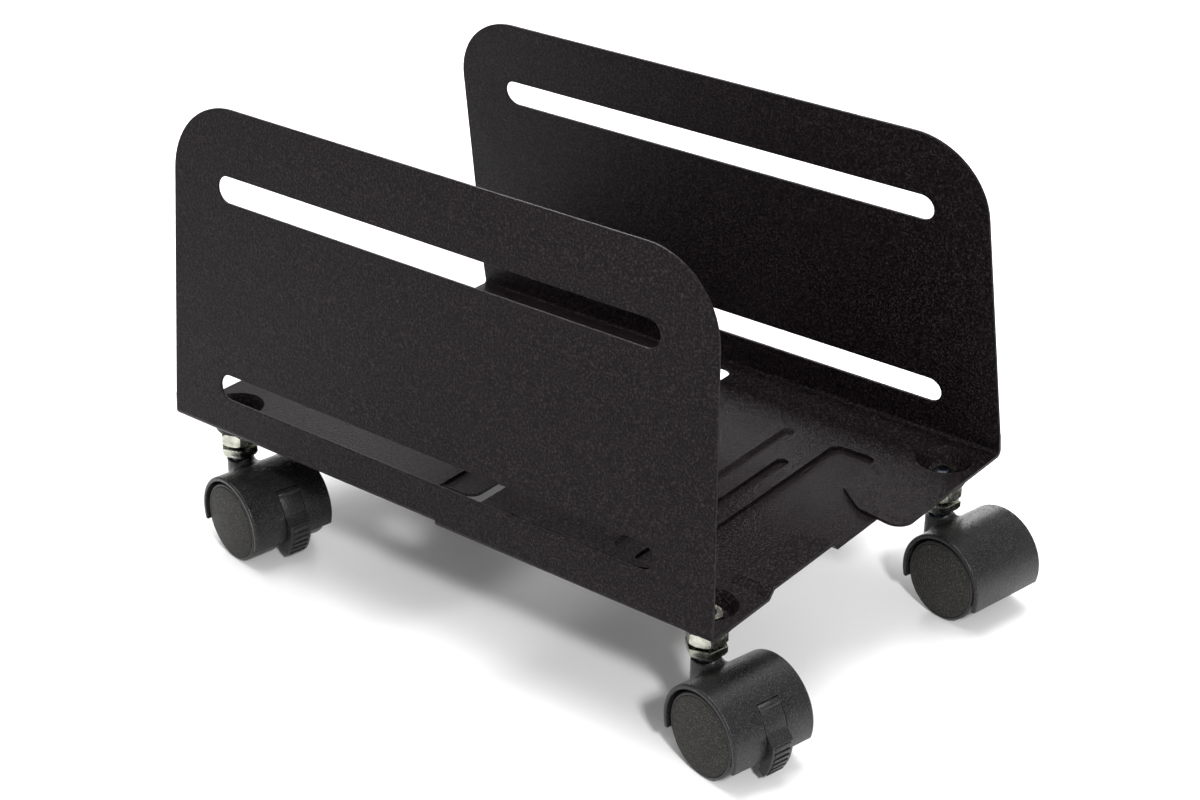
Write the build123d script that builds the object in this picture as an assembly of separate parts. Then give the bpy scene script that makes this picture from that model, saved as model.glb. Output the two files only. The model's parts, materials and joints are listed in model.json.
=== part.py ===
from build123d import *
import math
import os

# Rolling holder for a computer tower. Two pressed steel halves, each a leaning side panel with a
# base flange, overlap under the tower and slide apart. Each half stands on two twin-wheel casters.
# +X is to the right, the front is -Y and +Z is up, with Z = 0 on the floor. Millimetres throughout.

# ---- frame ----
OUTER_WIDTH = 216.0        # between the outer faces of the two panels, at the base
BASE_LENGTH = 320.0        # front to back, at the base
PANEL_HEIGHT = 167.0       # up the leaning face
BASE_HEIGHT = 65.0         # floor to the underside of the lower flanges
SHEET = 1.5
BEND_RADIUS = 1.5          # inside of the bend
LEFT_LEAN = 3.0            # degrees inward from upright
RIGHT_LEAN = 9.8
HALF_OFFSET = 16.0         # the right half sits this much further forward
LAYER_STEP = 2.0           # the upper flange lies this much above the lower one
LEVEL_SPLIT = -8.0         # where a panel's bottom edge steps from the lower level to the upper

# ---- panel outline ----
CORNER_RADIUS = 38.0
END_TAPER = 7.6            # each end of a panel leans in by this at the top
STUB_HEIGHT = 14.0         # the bend is modelled up to here, the flat panel from here
SLOT_HALF_LENGTH = 129.0
SLOT_WIDTH = 13.0
SLOT_LEVELS = (28.0, 128.3)
EDGE_BREAK = 0.4

# ---- flanges, seen from above: distance from the panel, and place along it ----
EXTENSION_REACH = 190.0    # the long tongue of the upper flange
UPPER_EDGE = 12.0
BAY_START = 93.5
BAY_END = 117.5
BAY_ROOT = 42.5
SHOULDER_REACH = 91.0      # the caster end of the upper flange
LOWER_EDGE = -11.0
LOWER_REACH = 150.0        # the caster end of the lower flange
TONGUE_REACH = 186.0
TONGUE_EDGE = -136.0
GAP_ROOT = 9.0

# ---- pressed features of the flanges ----
GROOVE_PLACE = 69.0
GROOVE_START = 43.0
UPPER_GROOVE_HALF = 3.4
UPPER_GROOVE_DEPTH = 1.6
LOWER_GROOVE_HALF = 4.5
LOWER_GROOVE_DEPTH = 2.0
SLIDE_SLOT_PLACE = 83.5
SLIDE_SLOT_START = 70.0
SLIDE_SLOT_END = 186.0
SLIDE_SLOT_WIDTH = 6.6
PAD_START = 43.0
PAD_END = 97.0
PAD_DEPTH = 21.0
PAD_HEIGHT = 3.8           # the pads' tops are level with the clamp bolts' heads

# ---- caster seats ----
STEM_INSET = 23.0
STEM_PLACE = 142.0
CUP_RADIUS = 13.5
CUP_TAPER = 21.0           # degrees
SEAT_DROP = 8.0            # seat underside below the lower flange's underside
STUD_RADIUS = 4.0
STUD_HOLE_RADIUS = 4.05

# ---- casters ----
WHEEL_RADIUS = 20.0
TRAIL = 22.0
CASTER_TURN = {"front_left": -14.0, "rear_left": -11.0, "front_right": -12.0, "rear_right": -12.0}
BRAKED = ("front_left", "rear_left")
HOOD_RADIUS = 23.5
HOOD_INNER_RADIUS = 21.3
HOOD_HALF_WIDTH = 22.5
HOOD_SKIRT = 13.0          # height of the hood's lower edge
HOOD_RIM = 1.1             # rounding of the hood's two open ends
HOOD_EDGE = 0.4
WEB_HALF = 4.0
NECK_RADIUS = 6.7
NECK_TOP = 39.6
NECK_SPARE = 10.0          # made longer for the blend, then cut back
NECK_FLARE = 26.0
NECK_BLEND = 3.0
BOSS_RADIUS = 4.9          # the neck's lower end, behind the drum
BOSS_FOOT = 16.6
MOUTH_DEPTH = 1.0          # recess in the neck's top around the stem's ring
WHEEL_INNER = 4.4          # the wheels start here, either side of the web
WHEEL_OUTER = 21.6
WHEEL_POCKET = 20.8
CAP_RADIUS = 17.6
CAP_SEAT = 18.4
CAP_CROWN = 23.0
AXLE_RADIUS = 2.5
AXLE_HALF = 17.0
RUNNING_FIT = 0.05
PIN_RADIUS = 3.0           # the stem's lower end, inside the neck
PIN_FOOT = 17.8
COLLAR_HEX = 17.0
COLLAR_FOOT = 42.7
COLLAR_HEIGHT = 4.9
COLLAR_BEVEL = 2.0         # height of the collar's bevelled lower edge
RING_RADIUS = 5.2
LOCK_NUT_HEIGHT = 6.5
WASHER_RADIUS = 9.0
WASHER_THICKNESS = 1.2
SEAT_NUT_HEX = 13.0
SEAT_NUT_HEIGHT = 4.0
STUD_PROUD = 1.2           # stud above its upper nut

# ---- brake levers ----
LEVER_NEAR = -4.5
LEVER_FAR = 7.0
LEVER_GAP = 0.4
LEVER_INNER_RADIUS = 21.7
LEVER_TOP_ANGLE = 47.0
HINGE_ANGLE = 43.0
HINGE_RADIUS = 22.4
HINGE_PIN_RADIUS = 0.75
HINGE_KNUCKLE = 1.7
TREADLE_TOP_ANGLE = 10.0
TREADLE_FOOT_ANGLE = -36.0
TREADLE_RADIUS = 27.0
TREADLE_RIBS = 6

# ---- width clamps ----
CLAMP_REACH = 80.0
BOLT_RADIUS = 3.0
BOLT_HOLE_RADIUS = 3.2
BOLT_HEAD_RADIUS = 6.5
BOLT_HEAD_HEIGHT = 1.5
BOLT_END = 16.0            # below the lower flange
CLAMP_CLEARANCE = 0.3
CLAMP_WASHER_RADIUS = 6.4
CLAMP_WASHER = 1.2
WING_NUT_RADIUS = 4.8
WING_NUT_HEIGHT = 7.0
WING_SPAN = 13.0
WING_RISE = 6.0
WING_THICKNESS = 1.8

UNDER = -30.0              # far below and far above the sheet, for through cuts
OVER = 40.0


def ring_sector(inner, outer, start, stop, near, far):
    """Part of a tube about the X axis, from angle start to stop, measured from -Y towards +Z."""
    face = make_face(
        [
            Line(polar(inner, start), polar(outer, start)),
            arc_through(outer, start, stop),
            Line(polar(outer, stop), polar(inner, stop)),
            arc_through(inner, stop, start),
        ]
    )
    return extrude(Pos(near, 0, 0) * face, amount=far - near, dir=(1, 0, 0))


def polar(radius, angle):
    """Point in the YZ plane at an angle from -Y towards +Z."""
    turn = math.radians(angle)
    return Vector(0, -radius * math.cos(turn), radius * math.sin(turn))


def arc_through(radius, start, stop):
    return ThreePointArc(polar(radius, start), polar(radius, (start + stop) / 2), polar(radius, stop))


def x_cylinder(radius, near, far):
    """Cylinder about the X axis between two places on it."""
    return Pos((near + far) / 2, 0, 0) * Rot(0, 90, 0) * Cylinder(radius, far - near)


def z_cylinder(radius, low, high):
    return Pos(0, 0, low) * Cylinder(radius, high - low, align=(Align.CENTER, Align.CENTER, Align.MIN))


def hex_prism(across_flats, low, high):
    outline = RegularPolygon(across_flats / 2, 6, major_radius=False)
    return extrude(Pos(0, 0, low) * outline, amount=high - low)


def hex_nut(across_flats, bore, low, high):
    """Hex nut with both rims turned down to a round chamfer."""
    corner = across_flats / math.sqrt(3)
    round_off = chamfer(z_cylinder(corner, low, high).edges(), (corner - across_flats / 2) * 0.8)
    return (hex_prism(across_flats, low, high) & round_off) - z_cylinder(bore, low - 1, high + 1)


# ---- sheet halves, built with the panel at X = 0 and the base reaching towards +X ----

def leaning(lean):
    """Unit vectors up the panel's face and through its thickness."""
    tilt = math.radians(lean)
    along = Vector(math.sin(tilt), 0, math.cos(tilt))
    through = Vector(math.cos(tilt), 0, -math.sin(tilt))
    return along, through


def bent_strip(lean, level, reach, start, stop):
    """Bend and flat flange at one level, from start to stop along the panel."""
    along, through = leaning(lean)
    tilt = math.radians(lean)
    outer_corner = along * (level / math.cos(tilt))
    rise = SHEET * (1 + math.sin(tilt)) / math.cos(tilt)
    inner_corner = outer_corner + through * SHEET + along * rise
    outer_top = along * STUB_HEIGHT
    inner_top = outer_top + through * SHEET
    outer_end = Vector(reach, 0, level)
    inner_end = Vector(reach, 0, level + SHEET)
    outer = FilletPolyline(outer_end, outer_corner, outer_top, radius=BEND_RADIUS + SHEET)
    inner = FilletPolyline(inner_end, inner_corner, inner_top, radius=BEND_RADIUS)
    section = make_face([outer, Line(outer_top, inner_top), inner, Line(inner_end, outer_end)])
    return extrude(Pos(0, start, 0) * section, amount=stop - start, dir=(0, 1, 0))


def plan_prism(outline):
    """A plan outline run through the whole height of the base."""
    return extrude(Pos(0, 0, UNDER) * outline, amount=OVER - UNDER)


def rounded_outline(corners):
    """Face through (x, y, radius) corners, each rounded to its own radius."""
    face = make_face(Polyline([(x, y) for x, y, _ in corners], close=True))
    for x, y, radius in corners:
        if radius > 0:
            corner = face.vertices().sort_by_distance((x, y, 0))[0]
            face = fillet(corner, radius)
    return face


def upper_outline():
    half = BASE_LENGTH / 2
    return rounded_outline(
        [
            (-20, LEVEL_SPLIT, 0),
            (GAP_ROOT, LEVEL_SPLIT, 0),
            (GAP_ROOT, UPPER_EDGE, 7),
            (EXTENSION_REACH, UPPER_EDGE, 6),
            (EXTENSION_REACH, BAY_START, 8),
            (BAY_ROOT, BAY_START, 5),
            (BAY_ROOT, BAY_END, 5),
            (74, BAY_END, 6),
            (87, 134, 12),
            (SHOULDER_REACH, half, 8),
            (-20, half, 0),
        ]
    )


def lower_outline():
    half = BASE_LENGTH / 2
    return rounded_outline(
        [
            (-20, LEVEL_SPLIT, 0),
            (GAP_ROOT, LEVEL_SPLIT, 0),
            (GAP_ROOT, LOWER_EDGE, 1.5),
            (TONGUE_REACH, LOWER_EDGE, 6),
            (TONGUE_REACH, TONGUE_EDGE, 8),
            (LOWER_REACH, TONGUE_EDGE, 6),
            (LOWER_REACH, -half, 8),
            (-20, -half, 0),
        ]
    )


def pressed_down(outline, wider, top, depth, taper):
    """The metal added below the sheet and the hollow cut from above, for a pressed recess."""
    metal = extrude(Pos(0, 0, top) * wider, amount=-(depth + SHEET), taper=taper)
    hollow = extrude(Pos(0, 0, top) * outline, amount=-depth, taper=taper)
    return metal, hollow


def pressed_groove(place, start, stop, half_width, top, depth):
    wall = SHEET * math.sqrt(2)
    middle = Pos((start + stop) / 2, place)
    span = stop - start
    outline = middle * SlotOverall(span, 2 * half_width)
    wider = middle * SlotOverall(span + 2 * wall, 2 * (half_width + wall))
    return pressed_down(outline, wider, top, depth, 45)


def pressed_cup(place, top, depth):
    wall = SHEET / math.cos(math.radians(CUP_TAPER))
    middle = Pos(STEM_INSET, place)
    mouth = middle * Circle(CUP_RADIUS)
    return pressed_down(mouth, middle * Circle(CUP_RADIUS + wall), top, depth, CUP_TAPER)


def stud_hole(place):
    return Pos(STEM_INSET, place, 0) * z_cylinder(STUD_HOLE_RADIUS, UNDER, OVER)


def pad_outline(grow, edge):
    """The raised pad, run out past the flange's front edge."""
    return rounded_outline(
        [
            (PAD_START - grow, edge - 12, 0),
            (PAD_END + grow, edge - 12, 0),
            (PAD_END + grow, edge + PAD_DEPTH + grow, 16),
            (PAD_START - grow, edge + PAD_DEPTH + grow, 3),
        ]
    )


def upper_flange(lean):
    top = LAYER_STEP + SHEET
    strip = bent_strip(lean, LAYER_STEP, EXTENSION_REACH + 5, LEVEL_SPLIT, BASE_LENGTH / 2)
    flange = strip & plan_prism(upper_outline())
    groove, groove_hollow = pressed_groove(
        GROOVE_PLACE, GROOVE_START, EXTENSION_REACH - 8, UPPER_GROOVE_HALF, top, UPPER_GROOVE_DEPTH
    )
    cup, cup_hollow = pressed_cup(STEM_PLACE, top, SEAT_DROP + LAYER_STEP)
    slot_middle = Pos((SLIDE_SLOT_START + SLIDE_SLOT_END) / 2, SLIDE_SLOT_PLACE)
    slot = slot_middle * SlotOverall(SLIDE_SLOT_END - SLIDE_SLOT_START, SLIDE_SLOT_WIDTH)
    flange = flange + groove + cup
    return flange - groove_hollow - cup_hollow - stud_hole(STEM_PLACE) - plan_prism(slot)


def lower_flange(lean):
    edge = -BASE_LENGTH / 2
    strip = bent_strip(lean, 0, TONGUE_REACH + 5, edge, LEVEL_SPLIT)
    outline = plan_prism(lower_outline())
    flange = strip & outline
    groove, groove_hollow = pressed_groove(
        -GROOVE_PLACE - HALF_OFFSET, 14, TONGUE_REACH + 30, LOWER_GROOVE_HALF, SHEET, LOWER_GROOVE_DEPTH
    )
    cup, cup_hollow = pressed_cup(-STEM_PLACE, SHEET, SEAT_DROP)
    wall = SHEET * math.sqrt(2)
    pad = extrude(pad_outline(wall, edge), amount=PAD_HEIGHT + SHEET, taper=45)
    pad_hollow = extrude(pad_outline(0, edge), amount=PAD_HEIGHT, taper=45)
    clamp_place = -SLIDE_SLOT_PLACE - HALF_OFFSET
    clamp_hole = Pos(CLAMP_REACH, clamp_place, 0) * z_cylinder(BOLT_HOLE_RADIUS, UNDER, OVER)
    flange = flange + cup + ((groove + pad) & outline)
    return flange - groove_hollow - cup_hollow - pad_hollow - stud_hole(-STEM_PLACE) - clamp_hole


def side_panel(lean):
    """Flat leaning panel with rounded top corners and two long slots."""
    half = BASE_LENGTH / 2
    taper = END_TAPER / (PANEL_HEIGHT - STUB_HEIGHT)
    outline = rounded_outline(
        [
            (-half, STUB_HEIGHT, 0),
            (half, STUB_HEIGHT, 0),
            (half - END_TAPER, PANEL_HEIGHT, CORNER_RADIUS),
            (-half + END_TAPER, PANEL_HEIGHT, CORNER_RADIUS),
        ]
    )
    for level in SLOT_LEVELS:
        length = 2 * (SLOT_HALF_LENGTH - taper * level / 2)
        outline -= Pos(0, level) * SlotOverall(length, SLOT_WIDTH)
    along, through = leaning(lean)
    plane = Plane(origin=(0, 0, 0), x_dir=(0, 1, 0), z_dir=through)
    plate = extrude(plane * outline, amount=SHEET)
    joint_edges = [edge for edge in plate.edges() if edge.center().dot(along) < STUB_HEIGHT + 0.01]
    rims = [edge for edge in plate.edges() - joint_edges if abs(edge.tangent_at(0.5).dot(through)) < 0.5]
    return fillet(rims, EDGE_BREAK)


def frame_half(lean):
    return side_panel(lean) + upper_flange(lean) + lower_flange(lean)


# ---- casters, built on the stem's axis with the floor at Z = 0 and the trail towards -Y ----

def on_axle(shape):
    return Pos(0, -TRAIL, WHEEL_RADIUS) * shape


def hood(braked):
    """Drum-shaped cover in one piece with the centre web, and the neck that holds the stem's pin."""
    drum = on_axle(x_cylinder(HOOD_RADIUS, -HOOD_HALF_WIDTH, HOOD_HALF_WIDTH))
    body = drum + z_cylinder(NECK_RADIUS, NECK_FLARE, NECK_TOP + NECK_SPARE)
    seam = body.edges().filter_by(GeomType.BSPLINE)
    body = fillet(seam, NECK_BLEND)
    rims = [edge for edge in body.edges().filter_by(GeomType.CIRCLE) if edge.radius > HOOD_RADIUS - 0.1]
    body = fillet(rims, HOOD_RIM)
    body += Pos(0, 0, BOSS_FOOT) * Cone(
        BOSS_RADIUS, NECK_RADIUS, NECK_FLARE - BOSS_FOOT, align=(Align.CENTER, Align.CENTER, Align.MIN)
    )
    for side in (-1, 1):
        pocket = x_cylinder(HOOD_INNER_RADIUS, WEB_HALF, HOOD_HALF_WIDTH + 5)
        body -= on_axle(facing(side, pocket))
    body -= Pos(0, 0, HOOD_SKIRT) * Box(100, 100, 50, align=(Align.CENTER, Align.CENTER, Align.MAX))
    lips = [edge for edge in body.edges().filter_by(GeomType.CIRCLE) if on_lip(edge)]
    body = fillet(lips, HOOD_RIM / 2)
    foot = [edge for edge in body.edges() if abs(edge.center().Z - HOOD_SKIRT) < 0.01]
    body = fillet(foot, HOOD_EDGE)
    body -= z_cylinder(NECK_RADIUS + 0.5, NECK_TOP, NECK_TOP + 20)
    body -= z_cylinder(RING_RADIUS + 0.4, NECK_TOP - MOUTH_DEPTH, NECK_TOP + 1)
    body -= z_cylinder(PIN_RADIUS + RUNNING_FIT, PIN_FOOT - 0.4, NECK_TOP + 1)
    body -= on_axle(x_cylinder(AXLE_RADIUS, -WEB_HALF - 1, WEB_HALF + 1))
    if braked:
        window = ring_sector(
            WHEEL_POCKET - 0.9, HOOD_RADIUS + 8, -60, LEVER_TOP_ANGLE + 1.6,
            LEVER_NEAR - LEVER_GAP, LEVER_FAR + LEVER_GAP,
        )
        pin = x_cylinder(HINGE_PIN_RADIUS, LEVER_NEAR - 3, LEVER_FAR + 3)
        body -= on_axle(window)
        body -= on_axle(Pos(polar(HINGE_RADIUS, HINGE_ANGLE)) * pin)
    return body


def on_lip(edge):
    """Whether an edge is the inner rim of one of the hood's two open ends."""
    return abs(edge.radius - HOOD_INNER_RADIUS) < 0.01 and abs(edge.center().X) > HOOD_HALF_WIDTH - 0.5


def stem():
    seat = BASE_HEIGHT - SEAT_DROP
    collar_top = COLLAR_FOOT + COLLAR_HEIGHT
    shoulder = COLLAR_FOOT + COLLAR_BEVEL
    stud_top = seat + SHEET + SEAT_NUT_HEIGHT + STUD_PROUD
    stud = chamfer(z_cylinder(STUD_RADIUS, collar_top - 1, stud_top).edges().sort_by(Axis.Z)[-1], 0.6)
    outline = Pos(0, 0, shoulder) * RegularPolygon(COLLAR_HEX / 2, 6, major_radius=False)
    collar = hex_prism(COLLAR_HEX, shoulder, collar_top) + extrude(outline, amount=-COLLAR_BEVEL, taper=28)
    ring = z_cylinder(RING_RADIUS, NECK_TOP - MOUTH_DEPTH + 0.3, collar_top - 1)
    pin = z_cylinder(PIN_RADIUS, PIN_FOOT, collar_top)
    return stud + collar + ring + pin


def seat_nut():
    floor = BASE_HEIGHT - SEAT_DROP + SHEET
    return hex_nut(SEAT_NUT_HEX, STUD_HOLE_RADIUS, floor, floor + SEAT_NUT_HEIGHT)


def seat_washer():
    seat = BASE_HEIGHT - SEAT_DROP
    return z_cylinder(WASHER_RADIUS, seat - WASHER_THICKNESS, seat) - z_cylinder(STUD_HOLE_RADIUS, 0, seat)


def lock_nut():
    top = BASE_HEIGHT - SEAT_DROP - WASHER_THICKNESS
    return hex_nut(COLLAR_HEX, STUD_HOLE_RADIUS, top - LOCK_NUT_HEIGHT, top)


def axle():
    pin = x_cylinder(AXLE_RADIUS, -AXLE_HALF, AXLE_HALF)
    return on_axle(chamfer(pin.edges().filter_by(GeomType.CIRCLE), 0.4))


def wheel(side):
    """Moulded wheel: bore, hollow inner face, rounded tread and a seat for its cap."""
    profile = make_face(
        [
            Line((WHEEL_INNER, AXLE_RADIUS + RUNNING_FIT), (WHEEL_INNER, 6)),
            Line((WHEEL_INNER, 6), (WHEEL_INNER + 8, 6.5)),
            Line((WHEEL_INNER + 8, 6.5), (WHEEL_INNER + 8, 16)),
            Line((WHEEL_INNER + 8, 16), (WHEEL_INNER, 16.5)),
            Line((WHEEL_INNER, 16.5), (WHEEL_INNER, WHEEL_RADIUS - 1)),
            ThreePointArc(
                (WHEEL_INNER, WHEEL_RADIUS - 1),
                (WHEEL_INNER + 0.3, WHEEL_RADIUS - 0.3),
                (WHEEL_INNER + 1, WHEEL_RADIUS),
            ),
            Line((WHEEL_INNER + 1, WHEEL_RADIUS), (WHEEL_OUTER - 2, WHEEL_RADIUS)),
            ThreePointArc(
                (WHEEL_OUTER - 2, WHEEL_RADIUS),
                (WHEEL_OUTER - 0.6, WHEEL_RADIUS - 0.6),
                (WHEEL_OUTER, WHEEL_RADIUS - 2),
            ),
            Line((WHEEL_OUTER, WHEEL_RADIUS - 2), (WHEEL_OUTER, CAP_RADIUS + 0.1)),
            Line((WHEEL_OUTER, CAP_RADIUS + 0.1), (CAP_SEAT, CAP_RADIUS + 0.1)),
            Line((CAP_SEAT, CAP_RADIUS + 0.1), (CAP_SEAT, AXLE_RADIUS + RUNNING_FIT)),
            Line((CAP_SEAT, AXLE_RADIUS + RUNNING_FIT), (WHEEL_INNER, AXLE_RADIUS + RUNNING_FIT)),
        ]
    )
    return on_axle(facing(side, revolve(profile, Axis.X)))


def cap(side):
    """Shallow domed cap that snaps into the wheel's outer face."""
    edge = WHEEL_OUTER + 0.4
    ball = (CAP_RADIUS ** 2 + (CAP_CROWN - edge) ** 2) / (2 * (CAP_CROWN - edge))
    disc = x_cylinder(CAP_RADIUS, CAP_SEAT, CAP_CROWN + 1) & Pos(CAP_CROWN - ball, 0, 0) * Sphere(ball)
    rim = disc.edges().filter_by(GeomType.CIRCLE).sort_by(Axis.X)[-1]
    return on_axle(facing(side, fillet(rim, 0.6)))


def facing(side, shape):
    """Shapes made on the +X side, turned round to the other side of the web."""
    return shape if side > 0 else Rot(0, 0, 180) * shape


def brake_lever():
    plate = ring_sector(
        LEVER_INNER_RADIUS, HOOD_RADIUS, TREADLE_FOOT_ANGLE + 6, LEVER_TOP_ANGLE, LEVER_NEAR, LEVER_FAR
    )
    treadle = ring_sector(
        HOOD_RADIUS - 0.6, TREADLE_RADIUS, TREADLE_FOOT_ANGLE, TREADLE_TOP_ANGLE - 6, LEVER_NEAR, LEVER_FAR
    )
    ramp = make_face(
        Polyline(
            polar(HOOD_RADIUS - 0.6, TREADLE_TOP_ANGLE + 8),
            polar(TREADLE_RADIUS, TREADLE_TOP_ANGLE - 6.1),
            polar(HOOD_RADIUS - 0.6, TREADLE_TOP_ANGLE - 6.1),
            close=True,
        )
    )
    wedge = extrude(Pos(LEVER_NEAR, 0, 0) * ramp, amount=LEVER_FAR - LEVER_NEAR, dir=(1, 0, 0))
    lever = plate + treadle + wedge
    span = TREADLE_TOP_ANGLE - 6 - TREADLE_FOOT_ANGLE
    for index in range(TREADLE_RIBS):
        angle = TREADLE_FOOT_ANGLE + span * (index + 0.5) / TREADLE_RIBS
        lever += ring_sector(
            TREADLE_RADIUS - 0.2, TREADLE_RADIUS + 0.6, angle - 1.6, angle + 1.6,
            LEVER_NEAR + 1.5, LEVER_FAR - 1.5,
        )
    hinge = Pos(polar(HINGE_RADIUS, HINGE_ANGLE))
    lever = lever + hinge * x_cylinder(HINGE_KNUCKLE, LEVER_NEAR, LEVER_FAR)
    lever -= hinge * x_cylinder(HINGE_PIN_RADIUS + RUNNING_FIT, LEVER_NEAR - 1, LEVER_FAR + 1)
    return on_axle(lever)


def brake_pin():
    pin = x_cylinder(HINGE_PIN_RADIUS, LEVER_NEAR - 2.8, LEVER_FAR + 2.8)
    return on_axle(Pos(polar(HINGE_RADIUS, HINGE_ANGLE)) * pin)


# ---- width clamps, built on the bolt's axis with Z = 0 at the lower flange's underside ----

def clamp_bolt():
    seat = LAYER_STEP + SHEET + CLAMP_CLEARANCE
    crown = seat + BOLT_HEAD_HEIGHT
    drop = BOLT_HEAD_HEIGHT - 0.5
    ball = (BOLT_HEAD_RADIUS ** 2 + drop ** 2) / (2 * drop)
    head = z_cylinder(BOLT_HEAD_RADIUS, seat, crown + 1) & Pos(0, 0, crown - ball) * Sphere(ball)
    shank = chamfer(z_cylinder(BOLT_RADIUS, -BOLT_END, seat + 0.5).edges().sort_by(Axis.Z)[0], 0.6)
    return head + shank


def clamp_washer():
    return z_cylinder(CLAMP_WASHER_RADIUS, -CLAMP_WASHER, 0) - z_cylinder(BOLT_HOLE_RADIUS, -5, 5)


def wing_nut():
    top = -CLAMP_WASHER
    body = Pos(0, 0, top - WING_NUT_HEIGHT / 2) * Cone(
        WING_NUT_RADIUS * 0.8, WING_NUT_RADIUS + 0.8, WING_NUT_HEIGHT
    )
    foot = top - WING_NUT_HEIGHT - WING_RISE + 1
    for side in (-1, 1):
        wing = rounded_outline(
            [
                (side * 3.4, top - 1.5, 0),
                (side * WING_SPAN * 0.62, top - 2.5, 2),
                (side * WING_SPAN, top - 7.5, 1.8),
                (side * WING_SPAN * 0.86, foot, 1.7),
                (side * 6.2, top - WING_NUT_HEIGHT + 0.6, 1.2),
                (side * 3.4, top - WING_NUT_HEIGHT + 0.4, 0),
            ]
        )
        plate = extrude(Plane.XZ * wing, amount=WING_THICKNESS / 2, both=True)
        body += plate
    return body - z_cylinder(BOLT_RADIUS + RUNNING_FIT, -40, 5)


# ---- assembly ----

def on_left(shape):
    return Pos(-OUTER_WIDTH / 2, 0, BASE_HEIGHT) * shape


def on_right(shape):
    return Pos(OUTER_WIDTH / 2, -HALF_OFFSET, BASE_HEIGHT) * Rot(0, 0, 180) * shape


def caster_place(name):
    """Stem axis on the floor, for a caster named by its end and side."""
    end, side = name.split("_")
    if side == "left":
        along = STEM_PLACE if end == "rear" else -STEM_PLACE
        return Vector(-OUTER_WIDTH / 2 + STEM_INSET, along, 0)
    along = STEM_PLACE if end == "rear" else -STEM_PLACE
    return Vector(OUTER_WIDTH / 2 - STEM_INSET, along - HALF_OFFSET, 0)


def caster_pieces(name):
    pieces = {
        "hood": hood(name in BRAKED),
        "stem": stem(),
        "seat_nut": seat_nut(),
        "washer": seat_washer(),
        "lock_nut": lock_nut(),
        "axle": axle(),
        "wheel_left": wheel(-1),
        "wheel_right": wheel(1),
        "cap_left": cap(-1),
        "cap_right": cap(1),
    }
    if name in BRAKED:
        pieces["brake_lever"] = brake_lever()
        pieces["brake_pin"] = brake_pin()
    return pieces


def assembly():
    parts = {"left_frame": on_left(frame_half(LEFT_LEAN)), "right_frame": on_right(frame_half(RIGHT_LEAN))}
    for name, turn in CASTER_TURN.items():
        place = Pos(caster_place(name)) * Rot(0, 0, turn)
        for piece, shape in caster_pieces(name).items():
            parts[f"{name}_{piece}"] = place * shape
    clamp_pieces = {"clamp_bolt": clamp_bolt(), "clamp_washer": clamp_washer(), "wing_nut": wing_nut()}
    clamp = Pos(CLAMP_REACH, -SLIDE_SLOT_PLACE - HALF_OFFSET, 0) * Rot(0, 0, 20)
    for piece, shape in clamp_pieces.items():
        parts[f"front_{piece}"] = on_left(clamp * shape)
        parts[f"rear_{piece}"] = on_right(clamp * shape)
    return parts


def footprint_centre(parts):
    boxes = [shape.bounding_box() for shape in parts.values()]
    low = [min(box.min.X for box in boxes), min(box.min.Y for box in boxes)]
    high = [max(box.max.X for box in boxes), max(box.max.Y for box in boxes)]
    return Vector((low[0] + high[0]) / 2, (low[1] + high[1]) / 2, 0)


def main():
    os.makedirs("parts", exist_ok=True)
    parts = assembly()
    centre = footprint_centre(parts)
    print("footprint centre", round(centre.X, 4), round(centre.Y, 4))
    for name, shape in parts.items():
        export_step(Pos(-centre) * shape, f"parts/{name}.step")


main()
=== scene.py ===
import bmesh
import bpy
import json
import math
from mathutils import Matrix, Vector


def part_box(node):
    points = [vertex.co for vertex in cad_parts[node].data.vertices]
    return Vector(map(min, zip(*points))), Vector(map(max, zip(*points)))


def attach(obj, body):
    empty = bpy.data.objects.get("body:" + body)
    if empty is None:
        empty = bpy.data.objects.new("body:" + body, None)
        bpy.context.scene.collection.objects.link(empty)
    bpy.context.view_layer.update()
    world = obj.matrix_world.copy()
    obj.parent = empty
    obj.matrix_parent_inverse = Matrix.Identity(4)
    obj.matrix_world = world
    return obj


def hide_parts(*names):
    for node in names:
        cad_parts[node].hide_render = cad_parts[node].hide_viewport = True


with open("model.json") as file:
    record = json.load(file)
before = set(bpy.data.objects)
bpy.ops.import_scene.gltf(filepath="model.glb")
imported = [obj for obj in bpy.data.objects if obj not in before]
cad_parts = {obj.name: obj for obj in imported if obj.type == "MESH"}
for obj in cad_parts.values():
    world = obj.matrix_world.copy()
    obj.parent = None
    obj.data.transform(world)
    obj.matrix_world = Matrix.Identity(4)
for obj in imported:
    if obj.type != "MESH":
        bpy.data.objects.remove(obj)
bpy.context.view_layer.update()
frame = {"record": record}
BODIES = frame["record"]["behaviour"]["bodies"]
NODES = {name: bpy.data.objects[name] for names in BODIES.values() for name in names}
MM = 0.001
MIX_COLOURS = (6, 7)           # colour sockets of the Mix node
MIX_RESULT = 2


# ---- node trees ----

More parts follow.
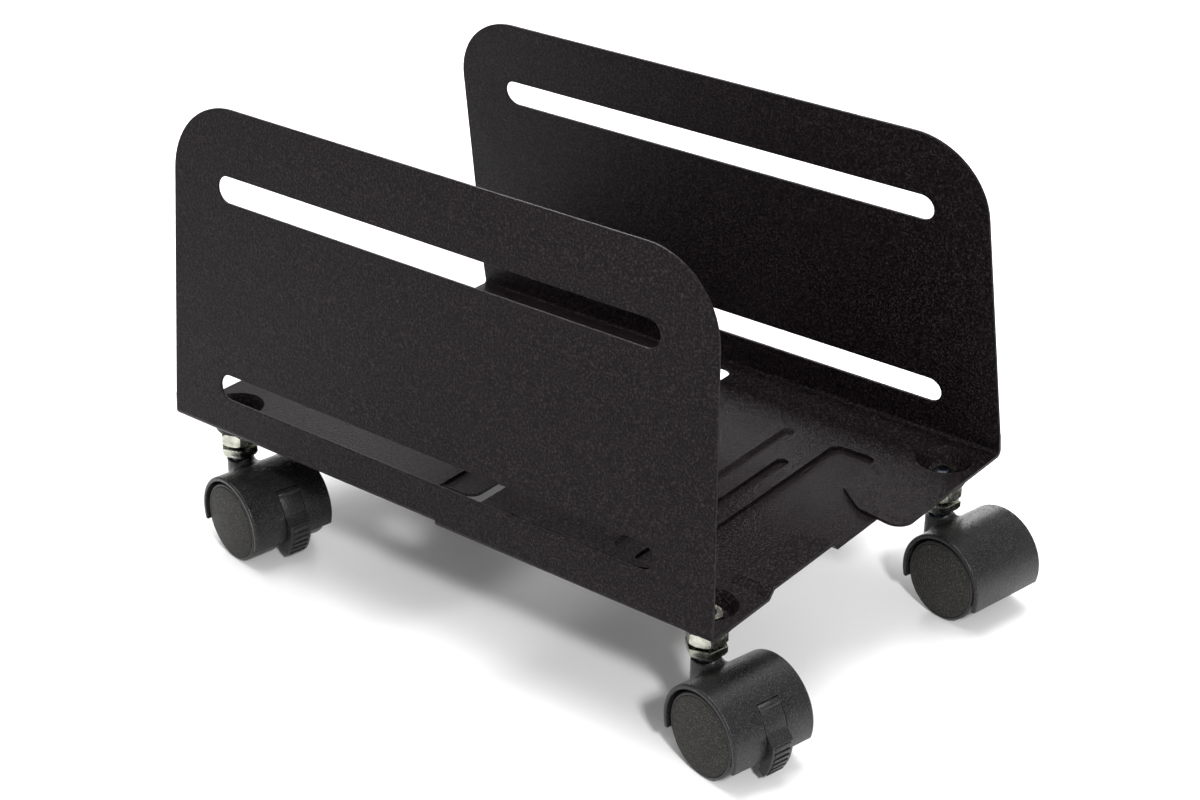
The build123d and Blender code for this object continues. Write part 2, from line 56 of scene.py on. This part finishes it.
class Tree:
    """A material's node tree, with short calls to add and join nodes."""

    def __init__(self, name):
        self.material = bpy.data.materials.new(name)
        self.material.use_nodes = True
        self.nodes = self.material.node_tree.nodes
        self.links = self.material.node_tree.links
        self.nodes.clear()
        self.output = self.nodes.new("ShaderNodeOutputMaterial")
        self.shader = self.nodes.new("ShaderNodeBsdfPrincipled")
        self.links.new(self.shader.outputs[0], self.output.inputs[0])
        self.place = self.nodes.new("ShaderNodeTexCoord").outputs["Object"]

    def add(self, kind, **values):
        node = self.nodes.new(kind)
        for key, value in values.items():
            if hasattr(node, key):
                setattr(node, key, value)
            else:
                node.inputs[key.replace("_", " ")].default_value = value
        return node

    def noise(self, scale, detail=4.0, roughness=0.6):
        node = self.add("ShaderNodeTexNoise", Scale=scale, Detail=detail, Roughness=roughness)
        self.links.new(self.place, node.inputs["Vector"])
        return node.outputs["Fac"]

    def cells(self, scale):
        node = self.add("ShaderNodeTexVoronoi", Scale=scale)
        self.links.new(self.place, node.inputs["Vector"])
        return node.outputs["Distance"]

    def remap(self, source, low, high, to_low, to_high):
        node = self.add("ShaderNodeMapRange")
        self.links.new(source, node.inputs["Value"])
        for key, value in (("From Min", low), ("From Max", high), ("To Min", to_low), ("To Max", to_high)):
            node.inputs[key].default_value = value
        return node.outputs["Result"]

    def math(self, operation, first, second):
        node = self.add("ShaderNodeMath", operation=operation)
        for slot, value in zip(node.inputs, (first, second)):
            if isinstance(value, (int, float)):
                slot.default_value = value
            else:
                self.links.new(value, slot)
        return node.outputs[0]

    def blend(self, factor, first, second):
        node = self.add("ShaderNodeMix", data_type="RGBA")
        self.links.new(factor, node.inputs["Factor"])
        for index, value in zip(MIX_COLOURS, (first, second)):
            slot = node.inputs[index]
            if isinstance(value, tuple):
                slot.default_value = (*value, 1.0)
            else:
                self.links.new(value, slot)
        return node.outputs[MIX_RESULT]

    def edge(self, radius=0.0006, low=0.80, high=0.97):
        """0 on flat ground, 1 on edges and corners, where the softened normal leaves the true one."""
        soft = self.add("ShaderNodeBevel", samples=4)
        soft.inputs["Radius"].default_value = radius
        true = self.add("ShaderNodeNewGeometry")
        dot = self.add("ShaderNodeVectorMath", operation="DOT_PRODUCT")
        self.links.new(soft.outputs[0], dot.inputs[0])
        self.links.new(true.outputs["Normal"], dot.inputs[1])
        return self.remap(dot.outputs["Value"], high, low, 0.0, 1.0)

    def set(self, key, value):
        slot = self.shader.inputs[key]
        if isinstance(value, tuple):
            slot.default_value = (*value, 1.0)
        elif isinstance(value, (int, float)):
            slot.default_value = value
        else:
            self.links.new(value, slot)

    def bumps(self, *layers):
        """Bump layers of (height, strength, distance), the first innermost."""
        last = None
        for height, strength, distance in layers:
            node = self.add("ShaderNodeBump", Strength=strength, Distance=distance)
            self.links.new(height, node.inputs["Height"])
            if last is not None:
                self.links.new(last, node.inputs["Normal"])
            last = node.outputs[0]
        self.links.new(last, self.shader.inputs["Normal"])


def powder_coat():
    """Black powder coat: fine texture with paler specks, faint patches, and paler edges that are partly
    thin worn spots and partly a painted edge highlight.
    """
    tree = Tree("powder_coat")
    grain = tree.noise(900, 4.0, 0.8)
    peel = tree.noise(480, 2.0, 0.5)
    cloud = tree.noise(9, 4.0, 0.6)
    thin = tree.remap(tree.noise(160, 4.0), 0.42, 0.62, 0.0, 1.0)
    # paler colour along the edges: partly worn coat, partly a painted highlight standing in for light
    # caught on the edges
    wear_and_edge_highlight = tree.math("MULTIPLY", tree.edge(), thin)
    patches = tree.remap(cloud, 0.35, 0.65, 0.0, 1.0)
    ground = tree.blend(patches, (0.0020, 0.0014, 0.0017), (0.0034, 0.0026, 0.0028))
    speck = tree.blend(tree.remap(grain, 0.50, 0.64, 0.0, 1.0), ground, (0.036, 0.027, 0.030))
    # the pale edge colour is partly wear and partly a painted edge highlight
    tree.set("Base Color", tree.blend(tree.math("MULTIPLY", wear_and_edge_highlight, 0.5), speck, (0.075, 0.072, 0.066)))
    rough = tree.remap(cloud, 0.3, 0.7, 0.31, 0.38)
    tree.set("Roughness", tree.math("ADD", rough, tree.remap(grain, 0.3, 0.7, -0.06, 0.08)))
    tree.set("IOR", 1.17)
    tree.bumps((peel, 0.30, 0.0003), (grain, 1.0, 0.00050))
    return tree.material


def nylon(name, low, high, roughness, grain_strength, ior):
    """Black moulded nylon: fine spark-eroded grain, a little cloudiness, paler rubbed edges."""
    tree = Tree(name)
    grain = tree.noise(2200, 2.0, 0.6)
    cloud = tree.noise(35, 3.0, 0.6)
    thin = tree.remap(tree.noise(300, 4.0), 0.40, 0.62, 0.0, 1.0)
    scuff = tree.math("MULTIPLY", tree.edge(), thin)
    ground = tree.blend(tree.remap(cloud, 0.3, 0.7, 0.0, 1.0), low, high)
    speck = tree.remap(tree.noise(1500, 3.0, 0.8), 0.52, 0.66, 0.0, 1.0)
    ground = tree.blend(speck, ground, tuple(4.0 * x for x in high))
    rubbed = tuple(4.5 * x for x in high)
    tree.set("Base Color", tree.blend(tree.math("MULTIPLY", scuff, 0.6), ground, rubbed))
    rough = tree.remap(cloud, 0.3, 0.7, roughness, roughness + 0.09)
    tree.set("Roughness", tree.math("ADD", rough, tree.remap(grain, 0.3, 0.7, -0.04, 0.05)))
    tree.set("IOR", ior)
    tree.bumps((tree.cells(900), 0.10 * grain_strength, 0.0002), (grain, 0.20 * grain_strength, 0.0002))
    return tree.material


def zinc(name, bright, dull, roughness):
    """Plated steel: fine turned scratches and dull clouds."""
    tree = Tree(name)
    stretch = tree.add("ShaderNodeMapping")
    stretch.inputs["Scale"].default_value = (1.0, 1.0, 9.0)
    tree.links.new(tree.place, stretch.inputs["Vector"])
    lines = tree.add("ShaderNodeTexNoise", Scale=900.0, Detail=3.0)
    tree.links.new(stretch.outputs[0], lines.inputs["Vector"])
    cloud = tree.noise(240, 4.0, 0.65)
    tree.set("Base Color", tree.blend(tree.remap(cloud, 0.35, 0.65, 0.0, 1.0), dull, bright))
    tree.set("Metallic", 1.0)
    rough = tree.remap(cloud, 0.3, 0.7, roughness, roughness + 0.14)
    tree.set("Roughness", tree.math("ADD", rough, tree.remap(lines.outputs["Fac"], 0.3, 0.7, -0.04, 0.06)))
    tree.bumps((lines.outputs["Fac"], 0.22, 0.0001))
    return tree.material


MATERIALS = {
    "black_paint": powder_coat(),
    "hood_nylon": nylon("hood_nylon", (0.007, 0.007, 0.0073), (0.0125, 0.0125, 0.0130), 0.22, 3.0, 1.34),
    "wheel_nylon": nylon("wheel_nylon", (0.006, 0.006, 0.0062), (0.010, 0.010, 0.0105), 0.32, 2.0, 1.38),
    "cap_nylon": nylon("cap_nylon", (0.014, 0.0136, 0.0122), (0.025, 0.0241, 0.0219), 0.40, 4.0, 1.15),
    "lever_nylon": nylon("lever_nylon", (0.007, 0.007, 0.0072), (0.012, 0.012, 0.0125), 0.28, 3.0, 1.36),
    "zinc": zinc("zinc", (0.56, 0.56, 0.50), (0.26, 0.265, 0.21), 0.15),
    "dark_steel": zinc("dark_steel", (0.085, 0.095, 0.12), (0.05, 0.056, 0.07), 0.2),
}


# ---- mesh tools ----

def make_piece(name, mesh, slot, body, nodes=(), crease=32):
    """Turns a finished bmesh into a piece that rides on a body."""
    bmesh.ops.recalc_face_normals(mesh, faces=mesh.faces)
    data = bpy.data.meshes.new(name)
    mesh.to_mesh(data)
    mesh.free()
    data.shade_smooth()
    data.set_sharp_from_angle(angle=math.radians(crease))
    data.materials.append(MATERIALS[slot])
    piece = bpy.data.objects.new(name, data)
    bpy.context.collection.objects.link(piece)
    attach(piece, body)
    if nodes:
        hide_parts(*nodes)


def ring(mesh, radius, along, sides):
    """A ring of points about the Z axis; one point where the radius is zero."""
    if radius == 0:
        return [mesh.verts.new((0, 0, along))]
    angles = [2 * math.pi * step / sides for step in range(sides)]
    return [mesh.verts.new((radius * math.cos(angle), radius * math.sin(angle), along)) for angle in angles]


def bridge(mesh, first, second):
    """Faces between two rings, either of which may be a single point."""
    count = max(len(first), len(second))
    for step in range(count):
        after = (step + 1) % count
        corners = [first[step % len(first)], first[after % len(first)],
                   second[after % len(second)], second[step % len(second)]]
        mesh.faces.new(list(dict.fromkeys(corners)))


def lathe(profile, sides=96, closed=False):
    """Solid of revolution about Z through (radius, height) points, in millimetres."""
    mesh = bmesh.new()
    rings = [ring(mesh, radius * MM, height * MM, sides) for radius, height in profile]
    for first, second in zip(rings, rings[1:]):
        bridge(mesh, first, second)
    if closed:
        bridge(mesh, rings[-1], rings[0])
    return mesh


def arc(centre, radius, start, stop, steps):
    """Points (radius, height) along an arc of a lathe profile; angles from the outward direction."""
    out, up = centre
    angles = [math.radians(start + (stop - start) * step / steps) for step in range(steps + 1)]
    return [(out + radius * math.cos(angle), up + radius * math.sin(angle)) for angle in angles]


def hex_loop(mesh, flats, height, round_off=0.35, steps=3):
    """A ring round a hexagon whose corners are slightly rounded."""
    points = []
    reach = (flats - 2 * round_off) / math.sqrt(3)
    for corner in range(6):
        outward = math.radians(60 * corner)
        for step in range(steps + 1):
            angle = outward + math.radians(-30 + 60 * step / steps)
            points.append((reach * math.cos(outward) + round_off * math.cos(angle),
                           reach * math.sin(outward) + round_off * math.sin(angle)))
    return [mesh.verts.new((x * MM, y * MM, height * MM)) for x, y in points]


def thread(mesh, core, crest, low, high, pitch, sides=40):
    """A helical ridge of V section round a core, tapering out at both ends."""
    turns = (high - low) / pitch
    count = int(turns * sides)
    run_out = sides / 2            # half a turn
    root = core - 0.15             # sunk into the core
    foot = 0.46 * pitch            # half widths of the ridge
    crown = 0.07 * pitch
    rows = []
    for step in range(count + 1):
        angle = 2 * math.pi * step / sides
        height = low + pitch * step / sides
        fade = min(1.0, step / run_out, (count - step) / run_out)
        tip = core + (crest - core) * fade
        row = [(root, -foot), (tip, -crown), (tip, crown), (root, foot)]
        rows.append([
            mesh.verts.new((r * math.cos(angle) * MM, r * math.sin(angle) * MM, (height + h) * MM))
            for r, h in row
        ])
    for first, second in zip(rows, rows[1:]):
        bridge(mesh, first, second)
    mesh.faces.new(rows[0])
    mesh.faces.new(rows[-1])


def move(mesh, matrix):
    bmesh.ops.transform(mesh, matrix=matrix, verts=mesh.verts)
    return mesh


# ---- where things are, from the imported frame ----

JOINTS = {joint["name"]: joint for joint in frame["record"]["behaviour"]["joints"]}
BODY_OF = {node: body for body, names in BODIES.items() for node in names}
SLOTS = {row["node"]: row["material_slot"] for row in frame["record"]["subparts"]}
CASTERS = ("front_left", "rear_left", "front_right", "rear_right")


def middle(node):
    low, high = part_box(node)
    return (Vector(low) + Vector(high)) / 2


def caster_turn(caster):
    axle = Vector(JOINTS[f"{caster}_wheel_right"]["axis"])
    return Matrix.Rotation(math.atan2(axle.y, axle.x), 4, "Z")


def stem_place(caster):
    """Stem axis of a caster, at the floor, turned as the caster is turned."""
    axis = middle(f"{caster}_washer")
    return Matrix.Translation((axis.x, axis.y, 0)) @ caster_turn(caster)


def axle_place(caster, side):
    """Hub of a caster, with Z pointing out of the wheel on the given side."""
    joint = JOINTS[f"{caster}_wheel_right"]
    turn = caster_turn(caster)
    quarter = Matrix.Rotation(math.radians(90 if side == "right" else -90), 4, "Y")
    return Matrix.Translation(joint["pos_m"]) @ turn @ quarter


# ---- pieces ----

# wheels and caps, in millimetres; places are along the axle from the caster's middle
WHEEL_RADIUS = 20.0
WHEEL_INNER = 4.4
WHEEL_OUTER = 21.6
WHEEL_HOLLOW = 8.0         # depth of the hollow in the inner face
INNER_ROUND = 1.2
OUTER_ROUND = 1.5
PARTING_RISE = 0.06
CAP_RADIUS = 18.3
CAP_GAP = 0.12
CAP_SEAT = 18.4
CAP_CROWN = 23.0
CAP_ROUND = 0.4
BORE_RADIUS = 2.55


def wheel(caster, side):
    """Moulded wheel: rounded tread with a parting line, and a seat for its cap."""
    inner = WHEEL_INNER
    floor = inner + WHEEL_HOLLOW
    parting = (WHEEL_INNER + WHEEL_OUTER) / 2
    seat = CAP_RADIUS + CAP_GAP
    profile = [(BORE_RADIUS, inner), (6.0, inner), (6.5, floor), (16.0, floor), (16.5, inner)]
    profile += arc((WHEEL_RADIUS - INNER_ROUND, inner + INNER_ROUND), INNER_ROUND, -90, 0, 5)
    profile += [(WHEEL_RADIUS, parting - 0.25), (WHEEL_RADIUS + PARTING_RISE, parting - 0.08)]
    profile += [(WHEEL_RADIUS + PARTING_RISE, parting + 0.08), (WHEEL_RADIUS, parting + 0.25)]
    profile += arc((WHEEL_RADIUS - OUTER_ROUND, WHEEL_OUTER - OUTER_ROUND), OUTER_ROUND, 0, 85, 8)
    profile += [(seat, WHEEL_OUTER - 0.2), (seat, CAP_SEAT), (BORE_RADIUS, CAP_SEAT)]
    mesh = move(lathe(profile, closed=True), axle_place(caster, side))
    node = f"{caster}_wheel_{side}"
    make_piece(f"wheel_{caster}_{side}", mesh, "wheel_nylon", BODY_OF[node], (node,))


def cap(caster, side):
    """Shallow domed cap with a rolled edge."""
    edge = WHEEL_OUTER - 0.25
    rim = CAP_RADIUS - CAP_ROUND
    shoulder = edge + CAP_ROUND
    profile = [(0, CAP_SEAT), (CAP_RADIUS, CAP_SEAT), (CAP_RADIUS, edge)]
    profile += arc((rim, edge), CAP_ROUND, 0, 75, 5)
    steps = 14
    for step in range(1, steps + 1):
        out = (rim - 0.1) * (1 - step / steps)
        profile.append((out, shoulder + (CAP_CROWN - shoulder) * (1 - (out / rim) ** 2)))
    mesh = move(lathe(profile), axle_place(caster, side))
    node = f"{caster}_cap_{side}"
    make_piece(f"cap_{caster}_{side}", mesh, "cap_nylon", BODY_OF[node], (node,))


# stems, in millimetres; heights are above the floor
NECK_TOP = 39.6
MOUTH_DEPTH = 0.7          # the ring starts this far inside the neck
PIN_RADIUS = 3.0
PIN_FOOT = 17.8
RING_RADIUS = 5.2
COLLAR_FOOT = 42.7
COLLAR_SHOULDER = 44.7
COLLAR_TOP = 47.6
COLLAR_HEX = 17.0
COLLAR_TAPER = 28.0        # degrees
STUD_RADIUS = 4.0
STUD_CORE = 3.35
STUD_TOP = 63.7
STUD_PITCH = 1.25


def stem(caster):
    """Stem in two tones: the blackened ring and stud, and the zinc hex collar round them."""
    node = f"{caster}_stem"
    place = stem_place(caster)
    low = NECK_TOP - MOUTH_DEPTH
    groove = RING_RADIUS - 0.5
    profile = [(0, PIN_FOOT), (PIN_RADIUS - 0.4, PIN_FOOT), (PIN_RADIUS, PIN_FOOT + 0.4), (PIN_RADIUS, low)]
    profile += [(RING_RADIUS - 0.25, low), (RING_RADIUS, low + 0.25), (RING_RADIUS, COLLAR_FOOT - 0.9)]
    profile += [(groove, COLLAR_FOOT - 0.7), (groove, COLLAR_FOOT + 0.3), (STUD_CORE, COLLAR_FOOT + 0.3)]
    profile += [(STUD_CORE, STUD_TOP - 0.5), (STUD_CORE - 0.5, STUD_TOP), (0, STUD_TOP)]
    mesh = lathe(profile, 48)
    thread(mesh, STUD_CORE, STUD_RADIUS, COLLAR_TOP - 0.6, STUD_TOP - 0.6, STUD_PITCH)
    make_piece(f"stem_{caster}", move(mesh, place), "dark_steel", BODY_OF[node], (node,))

    bevel = COLLAR_SHOULDER - COLLAR_FOOT
    slim = COLLAR_HEX - 2 * bevel * math.tan(math.radians(COLLAR_TAPER))
    levels = [
        (slim - 0.3, COLLAR_FOOT),
        (slim, COLLAR_FOOT + 0.12),
        (COLLAR_HEX - 0.12, COLLAR_SHOULDER - 0.1),
        (COLLAR_HEX, COLLAR_SHOULDER + 0.1),
        (COLLAR_HEX, COLLAR_TOP - 0.2),
        (COLLAR_HEX - 0.4, COLLAR_TOP),
    ]
    mesh = bmesh.new()
    loops = [hex_loop(mesh, flats, height) for flats, height in levels]
    for first, second in zip(loops, loops[1:]):
        bridge(mesh, first, second)
    mesh.faces.new(loops[0])
    mesh.faces.new(loops[-1])
    make_piece(f"collar_{caster}", move(mesh, place), "zinc", BODY_OF[node], crease=20)


# clamp bolts, in millimetres
BOLT_RADIUS = 3.0
BOLT_CORE = 2.45
BOLT_PITCH = 1.0
BOLT_HEAD_RADIUS = 6.5
BOLT_HEAD_HEIGHT = 1.5
BOLT_HEAD_EDGE = 0.4


def clamp_bolt(end):
    """Low-head bolt with a cut thread below the flanges."""
    node = f"{end}_clamp_bolt"
    low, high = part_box(node)
    axis = middle(node)
    foot, crown = low[2] / MM, high[2] / MM
    seat = crown - BOLT_HEAD_HEIGHT
    dome = BOLT_HEAD_HEIGHT - BOLT_HEAD_EDGE
    profile = [(0, foot), (1.9, foot), (BOLT_CORE, foot + 0.5), (BOLT_CORE, seat)]
    profile += [(BOLT_HEAD_RADIUS - 0.4, seat), (BOLT_HEAD_RADIUS - 0.05, seat + 0.25)]
    for step in range(9):
        angle = math.radians(10 * step)
        profile.append((BOLT_HEAD_RADIUS * math.cos(angle), seat + BOLT_HEAD_EDGE + dome * math.sin(angle)))
    mesh = lathe(profile + [(0, crown)], 48)
    thread(mesh, BOLT_CORE, BOLT_RADIUS, foot + 0.6, seat - 3.0, BOLT_PITCH)
    place = Matrix.Translation((axis.x, axis.y, 0))
    make_piece(f"bolt_{end}", move(mesh, place), "zinc", BODY_OF[node], (node,))


for caster in CASTERS:
    stem(caster)
    for side in ("left", "right"):
        wheel(caster, side)
        cap(caster, side)
for end in ("front", "rear"):
    clamp_bolt(end)


# ---- CAD nodes that stay, with rounded edges ----

def dress(node, slot):
    piece = NODES[node]
    piece.data.materials.clear()
    piece.data.materials.append(MATERIALS[slot])


def round_edges(node, width, angle=35):
    """Sheet and moulding edges are never knife sharp."""
    piece = NODES[node]
    weld = piece.modifiers.new("weld", "WELD")
    weld.merge_threshold = 1e-6
    bevel = piece.modifiers.new("edges", "BEVEL")
    bevel.width = width
    bevel.segments = 2
    bevel.limit_method = "ANGLE"
    bevel.angle_limit = math.radians(angle)
    bevel.harden_normals = True


REPLACED = ("_wheel_left", "_wheel_right", "_cap_left", "_cap_right", "_stem", "_clamp_bolt")
ROUNDED = {"_frame": 0.00045, "_brake_lever": 0.00035, "_wing_nut": 0.00030,
           "_lock_nut": 0.00015, "_seat_nut": 0.00015, "_washer": 0.00015}
for name, slot in SLOTS.items():
    if name.endswith(REPLACED):
        continue
    dress(name, slot)
    for ending, width in ROUNDED.items():
        if name.endswith(ending):
            round_edges(name, width)
            break


# ---- floor, light and camera ----

FLOOR_SIZE = 6.0
SKY_STRENGTH = 0.52
LENS = 67.46
SENSOR = 36.0
EYE_PLACE = (-0.7463, -0.5732, 0.5831)
EYE_TURN = (62.4794, -0.4362, -52.1653)      # degrees


def stage_floor():
    mesh = bmesh.new()
    bmesh.ops.create_grid(mesh, x_segments=2, y_segments=2, size=FLOOR_SIZE)
    data = bpy.data.meshes.new("floor")
    mesh.to_mesh(data)
    mesh.free()
    floor = bpy.data.objects.new("floor", data)
    bpy.context.collection.objects.link(floor)
    tree = Tree("floor")
    cloud = tree.noise(3, 2.0)
    tree.set("Base Color", tree.blend(cloud, (0.92, 0.92, 0.92), (0.94, 0.94, 0.94)))
    tree.set("Roughness", tree.remap(cloud, 0.3, 0.7, 0.6, 0.7))
    data.materials.append(tree.material)


def soft_box(name, place, target, size, power):
    data = bpy.data.lights.new(name, "AREA")
    data.shape = "RECTANGLE"
    data.size, data.size_y = size
    data.energy = power
    lamp = bpy.data.objects.new(name, data)
    lamp.location = place
    lamp.rotation_euler = (Vector(target) - Vector(place)).to_track_quat("-Z", "Y").to_euler()
    bpy.context.collection.objects.link(lamp)


def world_light():
    world = bpy.data.worlds.new("studio")
    bpy.context.scene.world = world
    world.use_nodes = True
    background = world.node_tree.nodes["Background"]
    background.inputs["Color"].default_value = (1.0, 1.0, 1.0, 1.0)
    background.inputs["Strength"].default_value = SKY_STRENGTH


def camera():
    data = bpy.data.cameras.new("camera")
    data.sensor_width = SENSOR
    data.lens = LENS
    data.clip_end = 50.0
    eye = bpy.data.objects.new("camera", data)
    eye.location = EYE_PLACE
    eye.rotation_euler = [math.radians(angle) for angle in EYE_TURN]
    bpy.context.collection.objects.link(eye)
    bpy.context.scene.camera = eye


stage_floor()
world_light()
soft_box("key", (-0.75, -1.05, 1.0), (0, 0, 0.1), (0.16, 0.16), 16.0)
soft_box("back", (0.9, 0.6, 0.5), (0, 0, 0.08), (0.5, 0.4), 5.5)
soft_box("top", (0.15, 0.25, 1.6), (0, 0, 0.1), (1.3, 1.3), 34.0)
camera()
bpy.context.scene.view_settings.view_transform = "Standard"
